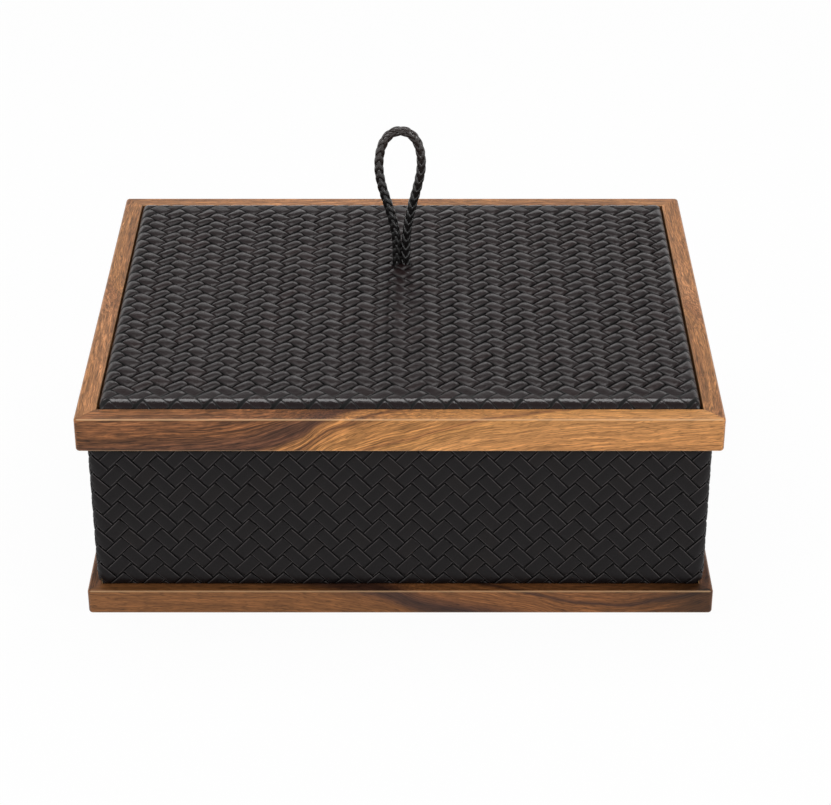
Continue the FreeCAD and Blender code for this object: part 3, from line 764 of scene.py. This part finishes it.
# %% The section of a wall
tuck, tuck_height = 1.6 * MM, 8.5 * MM
turn, rim_level = 1.0 * MM, rim - 0.3 * MM
tuck_level = foot + RELIEF + tuck_height
quarter = [(math.sin(i * math.pi / 16), math.cos(i * math.pi / 16)) for i in range(9)]
section_points = [(-tuck - 0.2 * MM, foot + RELIEF)]
section_points += [(-tuck + tuck * s, tuck_level - tuck_height * c) for s, c in quarter]
section_points += [(0.0, z) for z in np.linspace(tuck_level + 2 * MM, rim_level - turn - 2 * MM, 30)]
section_points += [(-turn + turn * c, rim_level - turn + turn * s) for s, c in quarter]
section_points += [(-turn - 2.6 * MM, rim_level)]
section_points = [(x, 0.0, z) for x, z in section_points]
wall_height = line_length(section_points)
wall_section = new_line("wrap_section", section_points)
outline.hide_render = wall_section.hide_render = True
print(f"section {wall_height / MM:.1f} mm")

# %% A tree that bends a sheet round the box
tree, given = new_tree("bend_round_box", {
    "Outline": "Object", "Section": "Object", "Girth": "Float", "Flat From": "Float",
    "Flat To": "Float", "Flat Share": "Float", "Leather": "Material"})
spot = parts(tree, add(tree, "GeometryNodeInputPosition"))
run = reckon(tree, "FLOORED_MODULO", spot["X"], given["Girth"])
way_round = sample(tree, given["Outline"], run)
way_up = sample(tree, given["Section"], spot["Y"])
outwards = steer(tree, "CROSS_PRODUCT", way_round["Tangent"], (0, 0, 1))
lift = steer(tree, "CROSS_PRODUCT", (0, 1, 0), way_up["Tangent"])
flat = spread(tree, spot["Y"], (given["Flat From"], given["Flat To"]), (1.0, given["Flat Share"]))
height = reckon(tree, "MULTIPLY", spot["Z"], flat)
level = steer(tree, "MULTIPLY_ADD", lift, height, way_up["Position"])
level = parts(tree, level)
bent = steer(tree, "MULTIPLY_ADD", outwards, level["X"], way_round["Position"])
bent = steer(tree, "ADD", bent, gather(tree, Z=level["Z"]))
moved = add(tree, "GeometryNodeSetPosition", {"Geometry": given["Geometry"], "Position": bent})
round_tree = end_tree(tree, moved, given["Leather"])

# %% Weave the sides
SIDE_COLUMNS, SIDE_ROWS = 134, 10
SIDE_SHIFT = Vector((0.0, 40.1, 0.0)) * MM
SIDE_HEM = 0.1 * MM
# The 0.8 edge marks paint a highlight along the strip edges, and the -1 marks paint the creases black, as
# shade.
side_strip = strip_stretch(
    "side_strip", 12.35, 7.2, 0.3, 0.03,
    along=both_ways((0, 1.0, 1.0), (0.6, 0.98, 0.995), (0.87, 0.9, 0.975), (0.95, 0.7, 0.955), (1, 0, 0.93)),
    across=both_ways((0, 0.9, 0), (0.78, 0.84, 0), (0.89, 0.72, 0.8), (0.95, 0.5, -1), (1, 0, -1)))
wrap = new_object("leather_sides")
run_tree(wrap, lay_tree, {
    "Strip": side_strip, "Columns": SIDE_COLUMNS, "Rows": SIDE_ROWS, "Column Pitch": girth / SIDE_COLUMNS,
    "Row Pitch": 11.1 * MM, "Slant": math.radians(47), "Lean": math.radians(1.2), "Jitter": 0.15 * MM,
    "Size Spread": 0.02, "Bias": 0.0, "Seed": 11, "Leather": side_leather})
wrap.data.transform(Matrix.Translation(SIDE_SHIFT))
trim(wrap, Vector((0, SIDE_HEM, 0)), Vector((0, -1, 0)))
trim(wrap, Vector((0, wall_height - SIDE_HEM, 0)), Vector((0, 1, 0)))
run_tree(wrap, round_tree, {
    "Outline": outline, "Section": wall_section, "Girth": girth, "Flat From": wall_height - 6 * MM,
    "Flat To": wall_height - 4.2 * MM, "Flat Share": 0.28, "Leather": side_leather})
wrap.data.shade_smooth()
print("side strips:", len(wrap.data.polygons), "faces")

# %% A plain ring of leather under the strips
levels = [
    (wall_half, 0.2, foot), (inset(1.5), 2.0, foot + 0.4 * MM), (inset(1.05), 2.6, foot + 1.8 * MM),
    (inset(0.6), 3.0, foot + 3.4 * MM), (inset(0.3), 3.3, foot + 5.6 * MM),
    (inset(0.1), 3.5, foot + 9.4 * MM), (inset(0.1), 3.5, rim - 1.6 * MM), (inset(0.5), 3.0, rim - 0.7 * MM),
    (inset(1.2), 2.4, rim - 0.35 * MM), (mouth_half, 0.4, rim - 0.3 * MM),
    (mouth_half, 0.3, wall_top), (wall_half, 0.2, wall_top)]
rings = [rounded_rectangle(*half, radius * MM, z) for half, radius, z in levels]
n = len(rings[0])
faces = []
for i in range(len(rings)):
    here, above = i * n, (i + 1) % len(rings) * n
    faces += [(here + j, above + j, above + (j + 1) % n, here + (j + 1) % n) for j in range(n)]
lining_ring = new_object("wrap_skin", [p for ring_points in rings for p in ring_points], faces=faces)
with opened(lining_ring.data) as work:
    bmesh.ops.recalc_face_normals(work, faces=work.faces)
join("leather_sides", wrap, lining_ring)
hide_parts("leather_wrap")
print("leather sides:", len(wrap.data.polygons), "faces")

# %% Put the patterns away
patterns = (lid_strip, side_strip, outline, wall_section, *sections)
for pattern in patterns:
    bpy.data.objects.remove(pattern)
print("patterns put away:", len(patterns))

# %% [markdown]
# ## Oiled walnut
#
# The frames are walnut, planed and oiled to a satin sheen, and wood has an index of about 1.5. A board is
# cut out of growth rings, which climb through it on a slant: where they run out of a face they draw long
# diagonal veins and dark streaks. So each rail has a "ring" coordinate, a height that climbs along the
# rail as a curve says, and a ramp gives every ring its colour. Finer than the rings are the fibres, drawn
# about 0.7 mm apart, and the cut vessels, dashes a few millimetres long. Both are drawn a little coarser
# than real ones, to show.


# %% Growth rings
RING_TILT = 0.74
WAVES = ((45, 7), (7, 1.1))


def growth_rings(tree, rail, share, climb, reach):
    """The ring coordinate at a share of a rail's length. It climbs by the reach, as climb says: (share of
    the length, share of the reach). A slow wander and a fast ripple are as in figured wood."""
    slope = add(tree, "ShaderNodeFloatCurve", {1: share})
    curve = slope.mapping.curves[0]
    for _ in climb[2:]:
        curve.points.new(0.5, 0.5)
    for point, spot in zip(curve.points, climb):
        point.location = spot
    slope.mapping.update()
    part = parts(tree, rail)
    ring = reckon(tree, "MULTIPLY_ADD", part["Y"], RING_TILT, part["Z"])
    ring = reckon(tree, "MULTIPLY_ADD", slope, -reach * MM, ring)
    for length, depth in WAVES:
        wave = steer(tree, "MULTIPLY", rail, (1 / length, 2.5 / length, 2.5 / length))
        wave = reckon(tree, "SUBTRACT", noise(tree, wave, MM, 1.0), 0.5)
        ring = reckon(tree, "MULTIPLY_ADD", wave, depth * MM, ring)
    return ring


# %% Fibres and vessels
FIBRES = ((18, 0.6, 2.6), (40, 1.9, 1.8), (8, 1.1, 1.7))
VESSEL_LENGTH, VESSEL_WIDTH = 4, 0.5


def draw_grain(tree, colour, grain, strength):
    """The colour with fibres of this strength and cut vessels, all thin across the rings; and the vessels
    and their pores."""
    for length, width, depth in FIBRES:
        lines = steer(tree, "MULTIPLY", grain, (1 / length, 1 / width, 1 / width))
        lines = noise(tree, lines, MM, 2.0)
        lines = spread(tree, lines, (0.3, 0.7), (-0.2 * depth, 0.2 * depth))
        lines = reckon(tree, "MULTIPLY_ADD", lines, strength, 1.0)
        colour = steer(tree, "MULTIPLY", colour, lines)
    thin = 1 / VESSEL_WIDTH
    vessels = steer(tree, "MULTIPLY", grain, (1 / VESSEL_LENGTH, thin, thin))
    vessels = noise(tree, vessels, MM, 1.0)
    pores = spread(tree, vessels, (0.56, 0.70), (1.0, 0.5))
    return steer(tree, "MULTIPLY", colour, pores), vessels, pores


# %% Pale edges: wear and painted highlight
PALE_EDGE_WALNUT = linear("#e2b88c")
INNER_PALE_EDGE = 0.25
LIP = 10.4 * MM


def pale_edges(tree, colour, part, half_height, half_depth, pale_edge):
    """The colour with pale long edges, partly eased with abrasive and partly a painted highlight: the outer
    ones by the amount given, and those inside the rail's top, the lip, by less."""
    far_up = reckon(tree, "ABSOLUTE", part["Z"])
    far_up = reckon(tree, "SUBTRACT", far_up, half_height)
    far_out = reckon(tree, "ADD", part["Y"], half_depth)
    inside = reckon(tree, "SUBTRACT", far_out, LIP)
    # Both pale bands are partly wear and partly a painted highlight along the arrises.
    for far, sharp, soft, amount in ((far_out, 0.55, 0.95, pale_edge), (inside, 0.2, 0.6, INNER_PALE_EDGE)):
        away = steer(tree, "LENGTH", gather(tree, X=far, Y=far_up)).outputs["Value"]
        pale = spread(tree, away, (sharp * MM, soft * MM), (amount, 0.0))
        colour = mix(tree, pale, colour, PALE_EDGE_WALNUT)
    return colour


# %% Walnut for one rail
FIGURE_CHANGES, DUSK_FALLS = (0.3, 0.65), (0.84, 0.97)


def walnut(node, turn, climb, reach, tones, pale_edge, figure, dusk):
    """turn: the rail's own direction; climb and reach: how its rings climb; tones: (ring in mm, colour);
    pale_edge: how much paler the outer edges are, partly wear and partly a painted highlight;
    figure: how strong the fibres are at the left and right ends; dusk: how much of the colour is left at the
    right end."""
    material, tree, shader = new_finish("oiled_walnut_" + node)
    lowest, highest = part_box(node)
    centre = Matrix.Rotation(turn, 3, "Z") @ ((lowest + highest) / 2)
    half_length, half_depth = sorted((highest.xy - lowest.xy) / 2, reverse=True)
    place = add(tree, "ShaderNodeTexCoord").outputs["Object"]
    rail = add(tree, "ShaderNodeMapping", {"Vector": place, "Rotation": (0, 0, turn), "Location": -centre})
    part = parts(tree, rail)
    share = spread(tree, part["X"], (-half_length, half_length), (0.0, 1.0))
    ring = growth_rings(tree, rail, share, climb, reach)
    first, last = tones[0][0], tones[-1][0]
    rings = spread(tree, ring, (first * MM, last * MM), (0.0, 1.0))
    tint = shade(tree, rings, *(((ring_mm - first) / (last - first), code) for ring_mm, code in tones))
    colour = steer(tree, "MULTIPLY", tint, spread(tree, share, DUSK_FALLS, (1.0, dusk)))
    strength = spread(tree, share, FIGURE_CHANGES, figure)
    grain = gather(tree, X=part["X"], Y=ring, Z=part["Y"])
    colour, vessels, pores = draw_grain(tree, colour, grain, strength)
    colour = pale_edges(tree, colour, part, (highest.z - lowest.z) / 2, half_depth, pale_edge)
    rough = spread(tree, vessels, (0.3, 0.7), (0.34, 0.46))
    bump = add(tree, "ShaderNodeBump", {"Height": pores, "Strength": 0.35, "Distance": 0.08 * MM})
    feed(tree, shader, {"Base Color": colour, "Roughness": rough, "Normal": bump, "IOR": 1.5,
                        "Specular IOR Level": 0.25})
    return material


# %% The boards that the rails were cut from
LID_FRONT_CLIMB = [(0, 0), (0.26, 0.09), (0.33, 0.19), (0.40, 0.42), (0.5, 0.6), (0.68, 0.85), (1, 1)]
LID_FRONT_TONES = [
    (-85, "#bd824c"), (-65, "#c48a52"), (-54.5, "#bf864c"), (-53, "#8d5c36"), (-51, "#b87f48"),
    (-40, "#ad7743"), (-35, "#a56f40"), (-33, "#6c4429"), (-31.5, "#ab7442"), (-28, "#a36e40"),
    (-26, "#64402a"), (-24, "#543424"), (-18, "#623e29"), (-12, "#714729"), (-6, "#7e5030"),
    (4, "#8a5a37"), (20, "#a06c42")]
BASE_FRONT_CLIMB = [(0, 0), (0.41, 0.22), (0.56, 0.57), (0.69, 0.78), (0.82, 1), (0.91, 0.93), (1, 0.78)]
BASE_FRONT_TONES = [
    (-20, "#825531"), (0, "#855732"), (6, "#7f522f"), (10, "#4c3022"), (15, "#422a20"), (19, "#67412a"),
    (24, "#865632"), (34, "#835430"), (36, "#462c20"), (38, "#7f512f"), (44, "#784c2b"), (55, "#6c4429")]
SIDE_CLIMB = [(0, 0.2), (0.3, 0.0), (0.6, 0.55), (1, 0.75)]
LID_SIDE_TONES = [
    (-45, "#a8744a"), (-34, "#98683f"), (-27, "#7d5132"), (-22, "#a06d43"), (-12, "#ac7850"),
    (-4, "#946340"), (1, "#a67348"), (9, "#855838"), (15, "#a27048"), (30, "#ad7a4e")]
BASE_SIDE_TONES = [
    (-45, "#7d5235"), (-30, "#6a432b"), (-22, "#805436"), (-10, "#7a4f32"), (-4, "#563624"), (2, "#7b5033"),
    (12, "#855736"), (30, "#6f462c")]
QUARTER = math.pi / 2
# The fifth value in each cut is how pale the outer edges are painted: partly wear, partly a painted
# highlight.
boards = {
    "lid_rail_front": (0.0, LID_FRONT_CLIMB, 67, LID_FRONT_TONES, 0.75, (1.25, 0.65), 1.0),
    "lid_rail_back": (math.pi, SIDE_CLIMB, 30, LID_SIDE_TONES, 0.3, (0.9, 0.9), 1.0),
    "lid_rail_left": (QUARTER, SIDE_CLIMB, 28, LID_SIDE_TONES, 0.2, (0.9, 0.9), 1.0),
    "lid_rail_right": (-QUARTER, SIDE_CLIMB, 36, LID_SIDE_TONES, 0.2, (0.9, 0.9), 1.0),
    "base_rail_front": (0.0, BASE_FRONT_CLIMB, -46, BASE_FRONT_TONES, 0.65, (0.6, 0.75), 0.3),
    "base_rail_back": (math.pi, SIDE_CLIMB, 30, BASE_SIDE_TONES, 0.2, (0.8, 0.8), 1.0),
    "base_rail_left": (QUARTER, SIDE_CLIMB, 26, BASE_SIDE_TONES, 0.15, (0.8, 0.8), 1.0),
    "base_rail_right": (-QUARTER, SIDE_CLIMB, 34, BASE_SIDE_TONES, 0.15, (0.8, 0.8), 1.0)}
for name, board_cut in boards.items():
    dress(nodes[name].data, walnut(name, *board_cut))
print("rails finished:", len(boards))

# %% [markdown]
# ## Linings, boards and fittings
#
# Inside, the box is lined with suede: a napped leather with no gloss, whose nap shades it in soft clouds.
# The base stands on wool felt. Boards, keys and screws hardly show, but each gets its own material.


# %% Suede and felt
def napped(name, dark, light, cloud, nap, sheen):
    """A cloth or leather with a nap: its clouds and its fuzz have these sizes."""
    material, tree, shader = new_finish(name)
    place = add(tree, "ShaderNodeTexCoord").outputs["Object"]
    tint = shade(tree, noise(tree, place, cloud, 3.0), (0.35, dark), (0.65, light))
    fuzz = noise(tree, place, nap, 4.0)
    bump = add(tree, "ShaderNodeBump", {"Height": fuzz, "Strength": 0.4, "Distance": 0.3 * MM})
    feed(tree, shader, {"Base Color": tint, "Normal": bump, "Roughness": 0.95, "Sheen Weight": sheen,
                        "Sheen Roughness": 0.4})
    return material


suede = napped("charcoal_suede", "#3a3532", "#48423e", 25 * MM, 0.8 * MM, 0.3)
felt = napped("black_wool_felt", "#1b1a1a", "#242322", 12 * MM, 0.6 * MM, 0.2)
print("napped:", suede.name, felt.name)


# %% Sheet materials and steel
def board(name, dark, light, along, grain, roughness, metallic=0.0):
    """A plain material between two shades; along stretches its grain where a number is small."""
    material, tree, shader = new_finish(name)
    place = add(tree, "ShaderNodeTexCoord").outputs["Object"]
    stretch = steer(tree, "MULTIPLY", place, along)
    figure = noise(tree, stretch, grain, 3.0)
    tint = shade(tree, figure, (0.35, dark), (0.65, light))
    bump = add(tree, "ShaderNodeBump", {"Height": figure, "Strength": 0.15, "Distance": 0.1 * MM})
    feed(tree, shader, {"Base Color": tint, "Normal": bump, "Roughness": roughness, "Metallic": metallic})
    return material


finishes = {
    "suede": suede, "felt": felt, "braided_leather": cord_leather,
    "plywood": board("birch_plywood", "#b8935f", "#cfae7c", (0.08, 1, 1), 3 * MM, 0.6),
    "board": board("grey_fibreboard", "#6d5a48", "#7d6955", (1, 1, 1), 1.5 * MM, 0.8),
    "beech": board("steamed_beech", "#a8764c", "#bd8b60", (0.1, 1, 1), 2 * MM, 0.5),
    "wadding": board("polyester_wadding", "#c9c6bf", "#dedbd5", (1, 1, 1), 4 * MM, 0.95),
    "steel": board("zinc_plated_steel", "#a9abad", "#bfc1c2", (1, 1, 1), 1 * MM, 0.35, 1.0)}
dressed = 0
for name, node in nodes.items():
    slot = node.data.materials[0].name.split(".")[0] if node.data.materials else ""
    if name not in boards and slot in finishes:
        dress(node.data, finishes[slot])
        dressed += 1
print("pieces finished:", dressed)

# %% [markdown]
# ## Light and floor
#
# The box stands on a white sweep in soft studio light. The room is white at eye level and darker towards
# the ceiling, which lets black leather shade from its far edges to its near ones. A wide lamp overhead
# draws the bright lines along the rounded edges, and two smaller ones light the front from the left and
# the right. A long, low one behind gives the top of the weave its sheen.

# %% The floor
FLOOR_HALF, GLOW = 6.0, 0.96
corners = [(x * FLOOR_HALF, y * FLOOR_HALF, 0) for x, y in ((-1, -1), (1, -1), (1, 1), (-1, 1))]
floor = new_object("floor", corners, faces=[(0, 1, 2, 3)])
paper, tree, shader = new_finish("white_paper_sweep")
feed(tree, shader, {"Base Color": linear("#f2f2f2"), "Roughness": 0.9})
rays = add(tree, "ShaderNodeLightPath")
seen = reckon(tree, "MAXIMUM", rays.outputs["Is Camera Ray"], rays.outputs["Is Glossy Ray"])
seen = reckon(tree, "MAXIMUM", seen, rays.outputs["Is Transmission Ray"])
share = reckon(tree, "MULTIPLY", seen, GLOW)
glow = add(tree, "ShaderNodeEmission", {"Color": linear("#ffffff"), "Strength": 1.0})
both = add(tree, "ShaderNodeMixShader", {0: share, 1: shader, 2: glow})
feed(tree, tree.nodes["Material Output"], {"Surface": both})
dress(floor.data, paper)
print("floor:", 2 * FLOOR_HALF, "m wide")

# %% The room
world = bpy.data.worlds.new("studio")
bpy.context.scene.world = world
world.use_nodes = True
tree = world.node_tree
direction = parts(tree, add(tree, "ShaderNodeTexCoord").outputs["Generated"])
room = shade(tree, direction["Z"], (0.0, "#ffffff"), (0.18, "#ffffff"), (0.42, "#868686"), (1.0, "#747474"))
feed(tree, tree.nodes["Background"], {"Color": room})
print("room:", world.name)


# %% The lamps
def lamp(name, place, target, width, depth, power):
    """A soft rectangular lamp, in metres and watts, which the camera doesn't see."""
    light = bpy.data.lights.new(name, "AREA")
    light.shape = "RECTANGLE"
    light.size = width
    light.size_y = depth
    light.energy = power
    obj = link(name, light)
    obj.location = place
    obj.rotation_euler = (Vector(target) - Vector(place)).to_track_quat("-Z", "Y").to_euler()
    obj.visible_camera = False


lamp("overhead", (0, 0.22, 1.35), (0, 0, 0.1), 1.6, 0.7, 12)
lamp("left", (-1.3, -1.0, 0.8), (0, 0, 0.08), 0.6, 0.6, 7)
lamp("right", (1.3, -1.0, 0.8), (0, 0, 0.08), 0.6, 0.6, 9)
lamp("behind", (0, 2.2, 0.65), (0, 0, 0.12), 3.0, 0.5, 4)
bpy.context.scene.view_settings.view_transform = "Standard"
print("lamps:", ", ".join(light.name for light in bpy.data.lights))

# %% Say what rides on what
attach(wrap, "box")
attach(cover, "lid")
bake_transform(braid)
print("modelled pieces:", ", ".join(piece.name for piece in (wrap, cover, braid)))
